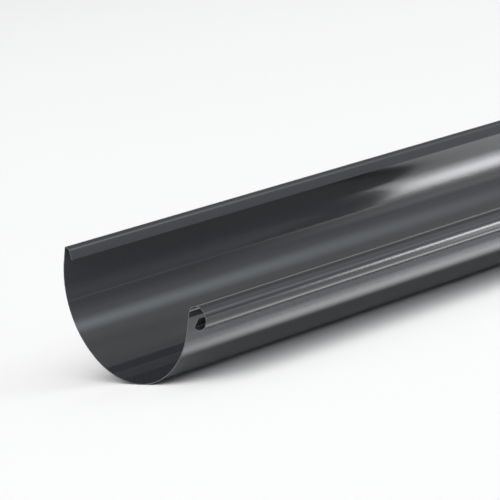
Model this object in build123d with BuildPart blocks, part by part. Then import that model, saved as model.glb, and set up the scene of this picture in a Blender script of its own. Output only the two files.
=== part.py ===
from build123d import *
from math import atan2, degrees
import os

# Half-round eaves gutter with a rolled front bead and a folded back edge.
# One strip of coated steel sheet, roll-formed along its whole length.
# X runs along the gutter, +Y is the back that hangs against the eaves, +Z is up.
# It lies as it comes to rest on a level floor. The origin is on the floor, under its middle.

# Stock, in millimetres
length = 2000.0  # one length as it is sold
sheet = 0.6  # thickness of the coated sheet
inside_width = 127.0  # inside diameter of the round trough

# Front wall and bead
front_lean = 8.4  # degrees that the straight front wall leans outwards
front_rise = 12.2  # length of that straight wall, from the round trough to the bead
bead_diameter = 17.4  # outside diameter of the bead
bead_past_bottom = 12.0  # degrees that the bead goes on past its lowest point
bead_lip_bend = 1.2  # inside radius where the bead turns in to its lip
bead_lip_slope = 60.0  # degrees from level of the free lip inside the bead
bead_lip = 6.4  # length of that lip

# Back wall and fold
back_lean = 7.8  # degrees that the straight back wall leans inwards
back_rise = 9.8  # length of that straight wall, from the round trough to the fold
fold_corner_bend = 0.3  # inside radius of the sharp corner at the top
fold_top = 1.9  # flat on top, from the corner to the shoulder
fold_top_slope = 8.0  # degrees that this flat falls towards the trough
fold_shoulder_bend = 1.3  # inside radius of the rounded shoulder
fold_shoulder_slope = 48.0  # degrees from level where the shoulder runs out into the bow
fold_bow_bend = 7.7  # inside radius of the wide bow between the shoulder and the lip
fold_lip_slope = 64.4  # degrees from level of the free lip
fold_lip = 5.7  # length of that lip

# Radii of the middle of the sheet
trough_radius = inside_width / 2 + sheet / 2
bead_radius = bead_diameter / 2 - sheet / 2
bead_lip_radius = bead_lip_bend + sheet / 2
fold_corner_radius = fold_corner_bend + sheet / 2
fold_shoulder_radius = fold_shoulder_bend + sheet / 2
fold_bow_radius = fold_bow_bend + sheet / 2

# Directions of the sheet in degrees from +Y, counted on through the turns
front_heading = 90 + front_lean
bead_bottom_heading = 360 + bead_past_bottom
bead_lip_heading = 540 - bead_lip_slope
back_heading = 90 + back_lean
fold_top_heading = 180 + fold_top_slope
fold_shoulder_heading = 180 + fold_shoulder_slope
fold_lip_heading = 180 + fold_lip_slope

# The section as it hangs, drawn on the middle of the sheet around the centre of the trough
with BuildSketch() as hanging_section:
    with BuildLine():
        trough = CenterArc((0, 0), trough_radius, 180 + front_lean, 180 - front_lean + back_lean)

        # Front wall, bead and the lip inside the bead
        front_wall = PolarLine(trough @ 0, front_rise, front_heading)
        bead = JernArc(
            front_wall @ 1, front_wall % 1, bead_radius, bead_bottom_heading - front_heading
        )
        bead_turn = JernArc(
            bead @ 1, bead % 1, bead_lip_radius, bead_lip_heading - bead_bottom_heading
        )
        PolarLine(bead_turn @ 1, bead_lip, bead_lip_heading)

        # Back wall, and at its top the sharp corner, flat, shoulder, bow and lip of the fold
        back_wall = PolarLine(trough @ 1, back_rise, back_heading)
        fold_corner = JernArc(
            back_wall @ 1, back_wall % 1, fold_corner_radius, fold_top_heading - back_heading
        )
        fold_flat = PolarLine(fold_corner @ 1, fold_top, fold_top_heading)
        fold_shoulder = JernArc(
            fold_flat @ 1, fold_flat % 1, fold_shoulder_radius, fold_shoulder_heading - fold_top_heading
        )
        fold_bow = JernArc(
            fold_shoulder @ 1, fold_shoulder % 1, fold_bow_radius, fold_lip_heading - fold_shoulder_heading
        )
        PolarLine(fold_bow @ 1, fold_lip, fold_lip_heading)
    trace(line_width=sheet)

# Unheld, it rolls on its round underside until its weight is right under the trough's centre.
weight = hanging_section.face().center(CenterOf.MASS)
rest_lean = degrees(atan2(-weight.X, -weight.Y))
resting_section = hanging_section.sketch.rotate(Axis.Z, rest_lean)
outline = resting_section.bounding_box()

with BuildPart() as gutter:
    with BuildSketch(Plane.YZ):
        with Locations((-outline.center().X, -outline.min.Y)):
            add(resting_section)
    extrude(amount=length / 2, both=True)

gutter.part.label = "gutter"

os.makedirs("parts", exist_ok=True)
export_step(gutter.part, "parts/gutter.step")
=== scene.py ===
# Half-round eaves gutter in coated steel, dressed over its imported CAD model.
# Metres, in the CAD frame: X along the gutter, +Y the back edge, +Z up, at rest on the floor.
import math
import bpy
from mathutils import Matrix, Vector


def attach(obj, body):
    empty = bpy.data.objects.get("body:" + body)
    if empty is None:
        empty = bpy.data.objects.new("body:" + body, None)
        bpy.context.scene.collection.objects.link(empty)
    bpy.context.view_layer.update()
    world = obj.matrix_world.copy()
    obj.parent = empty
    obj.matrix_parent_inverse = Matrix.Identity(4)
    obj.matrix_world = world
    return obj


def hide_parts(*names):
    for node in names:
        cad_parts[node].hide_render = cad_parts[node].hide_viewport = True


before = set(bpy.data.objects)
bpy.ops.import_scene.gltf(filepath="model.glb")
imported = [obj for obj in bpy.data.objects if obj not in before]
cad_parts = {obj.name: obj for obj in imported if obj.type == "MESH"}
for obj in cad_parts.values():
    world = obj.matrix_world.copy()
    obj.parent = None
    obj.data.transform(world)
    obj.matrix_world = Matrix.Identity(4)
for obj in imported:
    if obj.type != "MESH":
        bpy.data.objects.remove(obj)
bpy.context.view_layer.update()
scene = bpy.context.scene
scene.view_settings.view_transform = "Standard"
print("frame loaded")


def linearHex(text):  # "#rrggbb" as it looks on screen, to linear light
    parts = [int(text[i:i + 2], 16) / 255 for i in (1, 3, 5)]
    return [c / 12.92 if c <= 0.04045 else ((c + 0.055) / 1.055) ** 2.4 for c in parts] + [1.0]


def addNode(tree, kind, links=None, label="", **settings):  # links: input name or number -> socket or value
    node = tree.nodes.new(kind)
    node.label = label
    for key, value in settings.items():
        setattr(node, key, value)
    for key, value in (links or {}).items():
        if isinstance(value, bpy.types.NodeSocket):
            tree.links.new(value, node.inputs[key])
        else:
            node.inputs[key].default_value = value
    return node


# gutter: one strip of sheet, bent along its length as the rolls bend it
gutterSheet = {
    "length": 2.0,
    "sheet": 0.0006,
    "restLean": 14.64457,  # degrees that it leans forward when nothing holds it
    "troughCentre": (0.0079071, 0.0641),  # Y and Z at rest
    "lipHeading": 300.0,  # degrees from +Y, as it hangs, of the strip at the free lip inside the bead
    # flat before the bend, radius of the sheet's middle, turn in degrees (left is positive)
    "bends": {
        "Bead Lip": (0.0064, 0.0015, -108.0),
        "Bead": (0.0, 0.0084, -273.6),
        "Trough": (0.0122, 0.0638, 179.4),
        "Fold Corner": (0.0098, 0.0006, 90.2),
        "Fold Shoulder": (0.0019, 0.0016, 40.0),
        "Fold Bow": (0.0, 0.0080, 16.4),
    },
    "foldLip": 0.0057,
    "points": 2001,  # across the strip, before the flat runs are thinned
    "facet": 2.5,  # degrees of bend from one edge of the mesh to the next
    "crease": 50.0,  # degrees between two faces from which their edge stays sharp
}


def stripStart(sizes):  # Y and Z of the strip's first edge, so that the trough lands on its centre
    place, heading, centre = 0j, math.radians(sizes["lipHeading"] + sizes["restLean"]), 0j
    for name, (flat, radius, turn) in sizes["bends"].items():
        ahead = complex(math.cos(heading), math.sin(heading))
        side = math.copysign(radius, turn) * 1j
        hub = place + (flat + side) * ahead
        heading += math.radians(turn)
        place = hub - side * complex(math.cos(heading), math.sin(heading))
        if name == "Trough":
            centre = hub
    start = complex(*sizes["troughCentre"]) - centre
    return start.real, start.imag


def rollFormTree(sizes):
    tree = bpy.data.node_groups.new("Roll-formed sheet", "GeometryNodeTree")
    tree.interface.new_socket("Geometry", in_out="OUTPUT", socket_type="NodeSocketGeometry")
    settings = [("Length", "Float"), ("Sheet", "Float"), ("Points", "Int"), ("Facet", "Float"),
                ("Crease", "Float"), ("Start Y", "Float"), ("Start Z", "Float"), ("Start Heading", "Float"),
                ("Fold Lip", "Float")]
    for name in sizes["bends"]:
        settings += [(name + " Flat", "Float"), (name + " Radius", "Float"), (name + " Turn", "Float")]
    settings += [("Coat", "Material"), ("Cut Edge", "Material")]
    for name, kind in settings:
        tree.interface.new_socket(name, in_out="INPUT", socket_type="NodeSocket" + kind)
    given = addNode(tree, "NodeGroupInput").outputs
    freeEdge = 0.00001  # share of the strip's width that counts as its very edge

    def sums(operation, first, second=0.0, label=""):
        return addNode(tree, "ShaderNodeMath", {0: first, 1: second}, label, operation=operation).outputs[0]

    # the strip's width, and where each bend begins and ends on it
    reach, spans = 0.0, []
    for name in sizes["bends"]:
        begin = sums("ADD", reach, given[name + " Flat"], name + " begins")
        size = sums("MULTIPLY", given[name + " Radius"], sums("ABSOLUTE", given[name + " Turn"]))
        reach = sums("ADD", begin, size, name + " ends")
        spans.append((name, begin, reach))
    width = sums("ADD", reach, given["Fold Lip"], "strip width")
    step = sums("DIVIDE", width, sums("SUBTRACT", given["Points"], 1.0), "step")
    line = addNode(tree, "GeometryNodeMeshLine", {"Count": given["Points"], "Offset": (0, 0, 0)})
    strip = addNode(tree, "GeometryNodeMeshToCurve", {"Mesh": line.outputs[0]})

    # heading of each step: what the bends before its middle have turned
    index = addNode(tree, "GeometryNodeInputIndex").outputs[0]
    middle = sums("MULTIPLY", sums("ADD", index, 0.5), step, "middle of the step")
    heading = given["Start Heading"]
    for name, begin, end in spans:
        bend = addNode(tree, "ShaderNodeMapRange", {
            "Value": middle, "From Min": begin, "From Max": end,
            "To Min": 0.0, "To Max": given[name + " Turn"]}, name, clamp=True)
        heading = sums("ADD", heading, bend.outputs[0])
    kept = addNode(tree, "GeometryNodeCaptureAttribute", {"Geometry": strip.outputs[0]})
    kept.capture_items.new("FLOAT", "Heading")
    kept.capture_items.new("FLOAT", "Across")
    tree.links.new(heading, kept.inputs[1])
    tree.links.new(sums("DIVIDE", sums("MULTIPLY", index, step), width), kept.inputs[2])

    # the steps laid end to end
    heading, across = kept.outputs[1], kept.outputs[2]
    stride = addNode(tree, "ShaderNodeCombineXYZ", {
        1: sums("MULTIPLY", sums("COSINE", heading), step),
        2: sums("MULTIPLY", sums("SINE", heading), step)})
    laid = addNode(tree, "GeometryNodeAccumulateField", {
        "Value": stride.outputs[0]}, data_type="FLOAT_VECTOR")
    start = addNode(tree, "ShaderNodeCombineXYZ", {1: given["Start Y"], 2: given["Start Z"]})
    place = addNode(tree, "ShaderNodeVectorMath", {
        0: laid.outputs["Trailing"], 1: start.outputs[0]}, operation="ADD")
    bent = addNode(tree, "GeometryNodeSetPosition", {
        "Geometry": kept.outputs[0], "Position": place.outputs[0]})

    # one point is kept for each facet of bend, and the two free edges
    facet = sums("FLOOR", sums("DIVIDE", heading, given["Facet"]))
    before = addNode(tree, "GeometryNodeFieldAtIndex", {
        "Index": sums("SUBTRACT", index, 1.0), "Value": facet}, data_type="FLOAT").outputs[0]
    sameFacet = addNode(tree, "FunctionNodeCompare", {
        "A": facet, "B": before, "Epsilon": 0.1}, data_type="FLOAT", operation="EQUAL").outputs[0]
    notFirst = addNode(tree, "FunctionNodeCompare", {
        "A": across, "B": freeEdge}, operation="GREATER_THAN").outputs[0]
    notLast = addNode(tree, "FunctionNodeCompare", {
        "A": across, "B": 1 - freeEdge}, operation="LESS_THAN").outputs[0]
    inner = addNode(tree, "FunctionNodeBooleanMath", {0: notFirst, 1: notLast}, operation="AND").outputs[0]
    spare = addNode(tree, "FunctionNodeBooleanMath", {0: inner, 1: sameFacet}, operation="AND").outputs[0]
    thinned = addNode(tree, "GeometryNodeDeleteGeometry", {
        "Geometry": bent.outputs[0], "Selection": spare}, domain="POINT")

    # the sheet's own long thin section, run along the bent line
    section = addNode(tree, "GeometryNodeCurvePrimitiveQuadrilateral", {
        "Width": given["Length"], "Height": given["Sheet"]}, mode="RECTANGLE")
    solid = addNode(tree, "GeometryNodeCurveToMesh", {
        "Curve": thinned.outputs[0], "Profile Curve": section.outputs[0], "Fill Caps": True})
    angle = addNode(tree, "GeometryNodeInputMeshEdgeAngle").outputs["Unsigned Angle"]
    crease = addNode(tree, "FunctionNodeCompare", {
        "A": angle, "B": given["Crease"]}, operation="GREATER_THAN").outputs[0]
    smooth = addNode(tree, "GeometryNodeSetShadeSmooth", {
        "Geometry": solid.outputs[0], "Selection": crease, "Shade Smooth": False}, domain="EDGE")

    # the sheared ends and the slit edges of the strip
    facing = addNode(tree, "GeometryNodeInputNormal").outputs[0]
    alongX = addNode(tree, "ShaderNodeSeparateXYZ", {0: facing}).outputs[0]
    endFace = addNode(tree, "FunctionNodeCompare", {
        "A": sums("ABSOLUTE", alongX), "B": 0.5}, operation="GREATER_THAN").outputs[0]
    slit = addNode(tree, "FunctionNodeCompare", {
        "A": sums("ABSOLUTE", sums("SUBTRACT", across, 0.5)), "B": 0.499999},
        operation="GREATER_THAN").outputs[0]
    bare = addNode(tree, "FunctionNodeBooleanMath", {0: endFace, 1: slit}, operation="OR").outputs[0]
    real = addNode(tree, "GeometryNodeRealizeInstances", {0: smooth.outputs[0]})
    coated = addNode(tree, "GeometryNodeSetMaterial", {
        "Geometry": real.outputs[0], "Material": given["Coat"]})
    cut = addNode(tree, "GeometryNodeSetMaterial", {
        "Geometry": coated.outputs[0], "Selection": bare, "Material": given["Cut Edge"]})
    addNode(tree, "NodeGroupOutput", {0: cut.outputs[0]})
    return tree


# coil-coated steel: baked polyester over zinc and primer, rolled on flat before the sheet is formed.
# A dark satin skin, clearly glossy at low angles, with the faint pebbling of roller-laid paint.
coilCoat = {
    "colour": "#2b2c2f",
    "colourThin": "#303134",  # where the film is a little thinner
    "roughness": 0.06,
    "ior": 1.5,
    "roughnessChange": 0.01,  # up and down from there, with the thickness of the film
    "filmPatches": 9.0,  # thicker patches of the film to the metre
    "pebble": 0.0011,  # metres from one pebble to the next
    "pebbleHeight": 0.0000006,  # metres
}


def coilCoatedSteel(look):
    material = bpy.data.materials.new("Coil-coated steel, anthracite polyester")
    material.use_nodes = True
    tree = material.node_tree
    tree.nodes.clear()
    place = addNode(tree, "ShaderNodeTexCoord").outputs["Object"]
    pebbles = addNode(tree, "ShaderNodeTexNoise", {
        "Vector": place, "Scale": 1 / look["pebble"], "Detail": 2.0, "Roughness": 0.5}, "roller pebbling")
    film = addNode(tree, "ShaderNodeTexNoise", {
        "Vector": place, "Scale": look["filmPatches"], "Detail": 3.0, "Roughness": 0.55}, "film thickness")
    colour = addNode(tree, "ShaderNodeMix", {
        0: film.outputs[0], 6: linearHex(look["colour"]), 7: linearHex(look["colourThin"])},
        data_type="RGBA")
    gloss = addNode(tree, "ShaderNodeMapRange", {
        "Value": film.outputs[0], "From Min": 0.3, "From Max": 0.7,
        "To Min": look["roughness"] - look["roughnessChange"],
        "To Max": look["roughness"] + look["roughnessChange"]}, "gloss")
    bump = addNode(tree, "ShaderNodeBump", {
        "Height": pebbles.outputs[0], "Strength": 1.0, "Distance": look["pebbleHeight"]})
    skin = addNode(tree, "ShaderNodeBsdfPrincipled", {
        "Base Color": colour.outputs[2], "Roughness": gloss.outputs[0], "IOR": look["ior"],
        "Normal": bump.outputs[0]})
    addNode(tree, "ShaderNodeOutputMaterial", {0: skin.outputs[0]})
    return material


# sheared edge: the steel core with its zinc, cut bright and since dulled. It shows as a thin line of plain
# grey along the ends and along both free lips.
cutEdge = {
    "colour": "#797c7f",
    "roughness": 0.55,
    "roughnessChange": 0.1,
    "shearMarks": 1500.0,  # to the metre, about 0.7 mm apart
}


def shearedSteel(look):
    material = bpy.data.materials.new("Zinc-coated steel, sheared edge")
    material.use_nodes = True
    tree = material.node_tree
    tree.nodes.clear()
    place = addNode(tree, "ShaderNodeTexCoord").outputs["Object"]
    burr = addNode(tree, "ShaderNodeTexNoise", {
        "Vector": place, "Scale": look["shearMarks"], "Detail": 2.0}, "shear marks")
    gloss = addNode(tree, "ShaderNodeMapRange", {
        "Value": burr.outputs[0], "To Min": look["roughness"] - look["roughnessChange"],
        "To Max": look["roughness"] + look["roughnessChange"]}, "gloss")
    skin = addNode(tree, "ShaderNodeBsdfPrincipled", {
        "Base Color": linearHex(look["colour"]), "Roughness": gloss.outputs[0], "Metallic": 1.0})
    addNode(tree, "ShaderNodeOutputMaterial", {0: skin.outputs[0]})
    return material


def makeGutter(sizes):
    startY, startZ = stripStart(sizes)
    values = {
        "Length": sizes["length"], "Sheet": sizes["sheet"], "Points": sizes["points"],
        "Facet": math.radians(sizes["facet"]), "Crease": math.radians(sizes["crease"]),
        "Start Y": startY, "Start Z": startZ,
        "Start Heading": math.radians(sizes["lipHeading"] + sizes["restLean"]),
        "Fold Lip": sizes["foldLip"],
        "Coat": coilCoatedSteel(coilCoat), "Cut Edge": shearedSteel(cutEdge),
    }
    for name, (flat, radius, turn) in sizes["bends"].items():
        values.update({name + " Flat": flat, name + " Radius": radius, name + " Turn": math.radians(turn)})
    tree = rollFormTree(sizes)
    gutter = bpy.data.objects.new("coatedGutter", bpy.data.meshes.new("coatedGutter"))
    scene.collection.objects.link(gutter)
    rolls = gutter.modifiers.new("Rolls", "NODES")
    rolls.node_group = tree
    for item in tree.interface.items_tree:
        if item.item_type == "SOCKET" and item.in_out == "INPUT":
            rolls[item.identifier] = values[item.name]
    shaped = gutter.evaluated_get(bpy.context.evaluated_depsgraph_get())
    mesh = bpy.data.meshes.new_from_object(shaped)
    gutter.modifiers.remove(rolls)
    gutter.data = mesh
    return gutter


gutter = makeGutter(gutterSheet)
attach(gutter, "root")
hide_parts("gutter")
print("gutter formed:", len(gutter.data.polygons), "faces")


# camera, where the photograph was taken from: placed against the gutter as it hangs, then leaned with it
photoView = {
    "place": (-1.15186, -1.31414, 0.62290),  # from the trough's centre at the near end
    "turn": 45.95,  # degrees from +X towards +Y
    "down": 18.71,
    "lens": 195.3,
    "clip": (0.05, 100.0),  # metres
}


def makeCamera(look, sizes):
    turn, down = math.radians(look["turn"]), math.radians(look["down"])
    ahead = Vector((math.cos(turn) * math.cos(down), math.sin(turn) * math.cos(down), -math.sin(down)))
    right = ahead.cross(Vector((0, 0, 1))).normalized()
    stand = Matrix((right, right.cross(ahead), -ahead)).transposed().to_4x4()
    stand.translation = look["place"]
    nearEnd = Matrix.Translation((-sizes["length"] / 2, *sizes["troughCentre"]))
    camera = bpy.data.objects.new("camera", bpy.data.cameras.new("camera"))
    camera.matrix_world = nearEnd @ Matrix.Rotation(math.radians(sizes["restLean"]), 4, "X") @ stand
    camera.data.lens = look["lens"]
    camera.data.clip_start, camera.data.clip_end = look["clip"]
    scene.collection.objects.link(camera)
    scene.camera = camera


makeCamera(photoView, gutterSheet)

# studio: a pale sky, dimmer behind the gutter, and soft boxes far off. A box shows in the paint by where it
# stands along and round the gutter, so that is how each one is placed, against the gutter as it hangs.
studio = {
    "floor": "#f7f7f7",
    # painted shade: far in front of the gutter the floor's colour turns to this grey, standing in for light
    # that falls off with distance
    "floorPaintedShade": "#6c6c6c",
    "floorShadeFade": (1.9, 4.5),  # metres in front of the gutter where the painted shade starts and where it is full
    "floorRoughness": 0.9,
    "floorReach": 60.0,  # metres to each side
    "skyFront": 0.66,
    "skyBack": 0.3,
    "skyTurn": (0.35, 1.0, 0.0),  # the way the sky grows dimmer
    "skyTurnSpan": (-0.1, 0.5),  # how far that way it starts to, and where it has
    "skyLow": 0.2,  # share of its light that is left at the horizon
    "skyRise": (0.12, 0.45),  # height in the sky where it starts to grow and where it is full
    "aim": (-0.75, 0.0, 0.06),
    "distance": 40.0,
    # along: degrees off +X, from and to. fade: where along it is full, and where it has faded out.
    # round: degrees up from level in front, at its middle. reach: degrees from there to its edges.
    # rim: share of the reach in which it fades. through: what does not stand in its light's way, because
    # the photograph shows its shine there all the same. Where many of those overlap, thin lines look grainy.
    "boxes": {
        "frontBox": {
            "along": (34.0, 45.35), "fade": (43.4, 49.4), "round": 0.45, "reach": 17.3, "rim": 1.0,
            "level": 12.3, "tint": "#fbfcff", "through": ("floor", "gutter")},
        "frontBoxEnd": {
            "along": (45.35, 49.5), "fade": (43.4, 49.4), "round": 0.8, "reach": 15.5, "rim": 1.0,
            "level": 13.5, "tint": "#fbfcff", "through": ("floor",)},
        "frontSkirt": {
            "along": (34.0, 44.8), "fade": (42.0, 50.0), "round": -25.5, "reach": 21.0, "rim": 0.4,
            "level": 2.7, "tint": "#fafcff", "through": ("floor", "gutter")},
        "frontSkirtEnd": {
            "along": (44.8, 50.0), "fade": (43.5, 47.5), "round": -25.5, "reach": 21.0, "rim": 0.4,
            "level": 1.0, "tint": "#fafcff", "through": ("floor",)},
        "frontFill": {
            "along": (44.6, 58.0), "fade": (45.8, 44.6), "round": -18.0, "reach": 36.0, "rim": 0.5,
            "level": 0.3, "tint": "#f6faff", "through": ("floor", "gutter")},
        "frontHaze": {
            "along": (44.6, 60.0), "fade": (45.8, 44.6), "round": 21.0, "reach": 32.0, "rim": 0.75,
            "level": 0.35, "tint": "#f6faff", "through": ("floor", "gutter")},
        "sideHaze": {
            "along": (34.0, 45.8), "fade": (44.6, 45.8), "round": 21.0, "reach": 32.0, "rim": 0.75,
            "level": 0.5, "tint": "#f6faff", "through": ()},
        "brimBox": {
            "along": (34.0, 51.0), "fade": (44.5, 50.0), "round": 18.0, "reach": 11.0, "rim": 0.7,
            "level": 0.85, "tint": "#fafcff", "through": ("floor",)},
        "wallBox": {
            "along": (34.0, 60.0), "fade": (60.0, 90.0), "round": -56.0, "reach": 13.0, "rim": 0.5,
            "level": 0.85, "tint": "#f3f9ff", "through": ("floor",)},
        "lowBox": {
            "along": (34.0, 58.0), "fade": (48.5, 56.0), "round": -73.2, "reach": 15.8, "rim": 1.0,
            "level": 2.7, "tint": "#fafcff", "through": ("floor",)},
        "highBox": {
            "along": (36.0, 66.0), "fade": (57.0, 36.0), "round": 47.3, "reach": 12.3, "rim": 1.0,
            "level": 2.05, "tint": "#ecf7ff", "through": ()},
        "highHaze": {
            "along": (34.0, 66.0), "fade": (50.0, 80.0), "round": 46.0, "reach": 30.0, "rim": 0.6,
            "level": 0.38, "tint": "#f3f9ff", "through": ()},
        "overBox": {
            "along": (34.0, 51.0), "fade": (49.5, 51.0), "round": 85.0, "reach": 24.0, "rim": 0.7,
            "level": 0.3, "tint": "#f6faff", "through": ()},
        "backBox": {
            "along": (34.0, 62.0), "fade": (62.0, 90.0), "round": 160.0, "reach": 17.0, "rim": 0.6,
            "level": 0.45, "tint": "#f6faff", "through": ()},
        "topBox": {
            "along": (96.0, 160.0), "fade": (97.0, 96.0), "round": 82.0, "reach": 42.0, "rim": 0.3,
            "level": 2.2, "tint": "#ffffff", "through": ()},
    },
}


def makeFloor(look):
    mesh = bpy.data.meshes.new("floor")
    far = look["floorReach"]
    mesh.from_pydata([(-far, -far, 0), (far, -far, 0), (far, far, 0), (-far, far, 0)], [], [(0, 1, 2, 3)])
    floor = bpy.data.objects.new("floor", mesh)
    scene.collection.objects.link(floor)
    material = bpy.data.materials.new("matt white studio floor, painted shade far off")
    material.use_nodes = True
    tree = material.node_tree
    skin = tree.nodes["Principled BSDF"]
    place = addNode(tree, "ShaderNodeTexCoord").outputs["Object"]
    spot = addNode(tree, "ShaderNodeSeparateXYZ", {0: place})
    # painted shade: the floor's colour goes from pale to grey with distance in front of the gutter, standing
    # in for light falling off
    paintedShade = addNode(tree, "ShaderNodeMapRange", {
        "Value": spot.outputs[1], "From Min": -look["floorShadeFade"][0], "From Max": -look["floorShadeFade"][1]},
        interpolation_type="SMOOTHSTEP")
    shade = addNode(tree, "ShaderNodeMix", {
        0: paintedShade.outputs[0], 6: linearHex(look["floor"]), 7: linearHex(look["floorPaintedShade"])},
        data_type="RGBA")
    tree.links.new(shade.outputs[2], skin.inputs["Base Color"])
    skin.inputs["Roughness"].default_value = look["floorRoughness"]
    skin.inputs["Specular IOR Level"].default_value = 0.0
    mesh.materials.append(material)
    return floor


def makeSky(look):
    world = bpy.data.worlds.new("studio")
    world.use_nodes = True
    tree = world.node_tree
    tree.nodes.clear()
    way = addNode(tree, "ShaderNodeTexCoord").outputs["Generated"]
    back = addNode(tree, "ShaderNodeVectorMath", {0: way, 1: look["skyTurn"]}, operation="DOT_PRODUCT")
    level = addNode(tree, "ShaderNodeMapRange", {
        "Value": back.outputs["Value"],
        "From Min": look["skyTurnSpan"][0], "From Max": look["skyTurnSpan"][1],
        "To Min": look["skyFront"], "To Max": look["skyBack"]}, interpolation_type="SMOOTHSTEP")
    height = addNode(tree, "ShaderNodeSeparateXYZ", {0: way})
    rise = addNode(tree, "ShaderNodeMapRange", {
        "Value": height.outputs[2], "From Min": look["skyRise"][0], "From Max": look["skyRise"][1],
        "To Min": look["skyLow"], "To Max": 1.0}, interpolation_type="SMOOTHSTEP")
    glow = addNode(tree, "ShaderNodeMath", {0: level.outputs[0], 1: rise.outputs[0]}, operation="MULTIPLY")
    sky = addNode(tree, "ShaderNodeBackground", {"Color": (1, 1, 1, 1), "Strength": glow.outputs[0]})
    addNode(tree, "ShaderNodeOutputWorld", {0: sky.outputs[0]})
    scene.world = world


def makeBox(name, box, look, sizes, things):
    middle, turn = math.radians(sum(box["along"]) / 2), math.radians(box["round"])
    wide = 2 * look["distance"] * math.tan(math.radians(box["along"][1] - box["along"][0]) / 2)
    high = 2 * look["distance"] * math.tan(math.radians(box["reach"])) * math.sin(middle)
    away = Vector((math.cos(middle), -math.sin(middle) * math.cos(turn), math.sin(middle) * math.sin(turn)))
    rise = Vector((0, math.sin(turn), math.cos(turn)))
    stand = Matrix((rise, away.cross(rise), away)).transposed()
    lean = Matrix.Rotation(math.radians(sizes["restLean"]), 3, "X")
    lamp = bpy.data.lights.new(name, "AREA")
    lamp.shape, lamp.size, lamp.size_y = "RECTANGLE", high, wide
    lamp.energy = math.pi * wide * high * box["level"]  # so that a level of 1 is as bright as a white sky
    lamp.use_nodes = True
    tree = lamp.node_tree
    tree.nodes.clear()
    place = addNode(tree, "ShaderNodeNewGeometry").outputs["Parametric"]
    spot = addNode(tree, "ShaderNodeSeparateXYZ", {0: place})
    along = addNode(tree, "ShaderNodeMapRange", {
        "Value": spot.outputs[1], "To Min": box["along"][0], "To Max": box["along"][1]}, "degrees along")
    full = addNode(tree, "ShaderNodeMapRange", {
        "Value": along.outputs[0], "From Min": box["fade"][1], "From Max": box["fade"][0]},
        interpolation_type="SMOOTHSTEP")
    side = addNode(tree, "ShaderNodeMath", {0: spot.outputs[0], 1: 0.5}, operation="SUBTRACT")
    rim = addNode(tree, "ShaderNodeMath", {0: side.outputs[0]}, operation="ABSOLUTE")
    soft = addNode(tree, "ShaderNodeMapRange", {
        "Value": rim.outputs[0], "From Min": 0.5, "From Max": 0.5 - 0.5 * box["rim"]},
        interpolation_type="SMOOTHSTEP")
    level = addNode(tree, "ShaderNodeMath", {0: full.outputs[0], 1: soft.outputs[0]}, operation="MULTIPLY")
    glow = addNode(tree, "ShaderNodeEmission", {
        "Color": linearHex(box["tint"]), "Strength": level.outputs[0]})
    addNode(tree, "ShaderNodeOutputLight", {0: glow.outputs[0]})
    softBox = bpy.data.objects.new(name, lamp)
    softBox.matrix_world = Matrix.Translation(
        Vector(look["aim"]) + look["distance"] * (lean @ away)) @ (lean @ stand).to_4x4()
    softBox.visible_camera = False
    scene.collection.objects.link(softBox)
    if box["through"]:
        letThrough = bpy.data.collections.new(name + " shines through")
        for thing in box["through"]:
            letThrough.objects.link(things[thing])
        for entry in letThrough.collection_objects:
            entry.light_linking.link_state = "EXCLUDE"
        softBox.light_linking.blocker_collection = letThrough


makeSky(studio)
things = {"floor": makeFloor(studio), "gutter": gutter}
for boxName, box in studio["boxes"].items():
    makeBox(boxName, box, studio, gutterSheet, things)
print("camera and studio ready")
